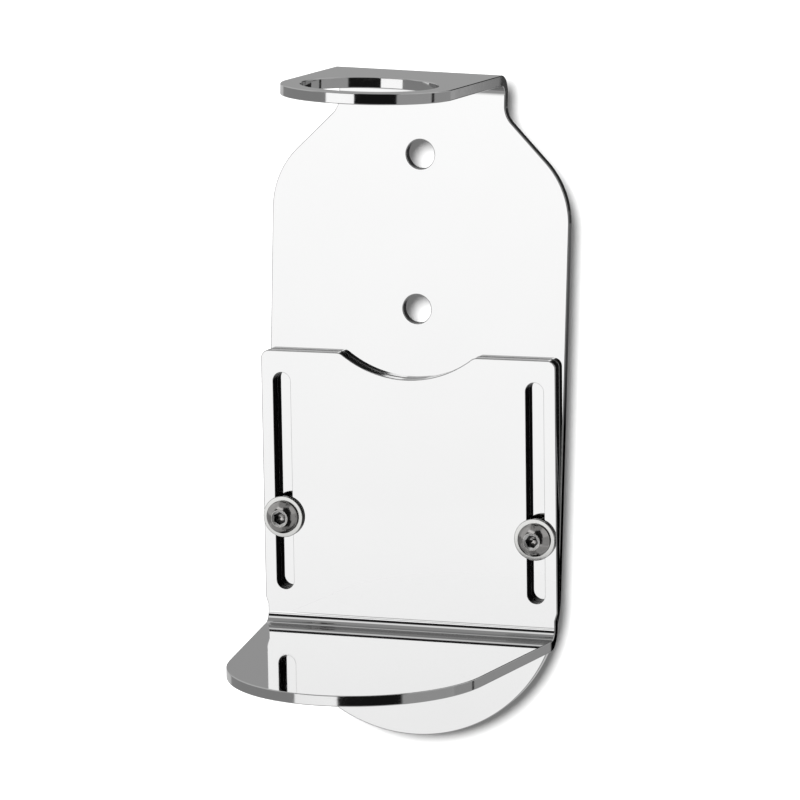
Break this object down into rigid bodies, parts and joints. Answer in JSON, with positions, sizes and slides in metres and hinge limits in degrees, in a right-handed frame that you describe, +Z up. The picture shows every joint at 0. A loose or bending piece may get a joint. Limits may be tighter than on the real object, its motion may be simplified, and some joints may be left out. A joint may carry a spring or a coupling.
{
  "type": "hair dryer holder",
  "caption": "Wall-mounted sheet steel holder with a ring above and a height-adjustable shelf below, clamped by screws in slots.",
  "frame": {"origin": "on the back plate's wall face, on its centre line, midway between the two wall holes", "axes": "+Z up, +Y into the wall so that the holder stands out towards -Y, +X to the right as seen from the front"},
  "size_m": [0.0905, 0.0859, 0.1918],
  "materials": {
    "back_plate": "polished",
    "slide_plate": "polished",
    "clamp_screw": "satin",
    "washer": "satin",
    "clinch_nut": "satin"
  },
  "bodies": {
    "wall_plate": {"back_plate": "back_plate", "clinch_nut_left": "clinch_nut", "clinch_nut_right": "clinch_nut"},
    "shelf": {"slide_plate": "slide_plate"},
    "left_washer": {"washer_left": "washer"},
    "left_screw": {"clamp_screw_left": "clamp_screw"},
    "right_washer": {"washer_right": "washer"},
    "right_screw": {"clamp_screw_right": "clamp_screw"}
  },
  "joints": [
    {"name": "shelf_height", "type": "slide", "parent": "wall_plate", "child": "shelf", "axis": [-0.0366, 0, 0.9993], "range_m": [-0.0392, 0.016]},
    {"name": "left_washer_lift", "type": "slide", "parent": "wall_plate", "child": "left_washer", "axis": [0, -1, 0], "range_m": [0, 0.0008]},
    {"name": "left_screw_turn", "type": "hinge", "parent": "left_washer", "child": "left_screw", "pos_m": [-0.0378, -0.0078, -0.0845], "axis": [0, -1, 0], "range_deg": [0, 360]},
    {"name": "right_washer_lift", "type": "slide", "parent": "wall_plate", "child": "right_washer", "axis": [0, -1, 0], "range_m": [0, 0.0008]},
    {"name": "right_screw_turn", "type": "hinge", "parent": "right_washer", "child": "right_screw", "pos_m": [0.0378, -0.0078, -0.0845], "axis": [0, -1, 0], "range_deg": [0, 360]}
  ],
  "couplings": [
    {"joint": "left_screw_turn", "follows": "left_washer_lift", "rad_per_m": 7854},
    {"joint": "right_screw_turn", "follows": "right_washer_lift", "rad_per_m": 7854}
  ]
}
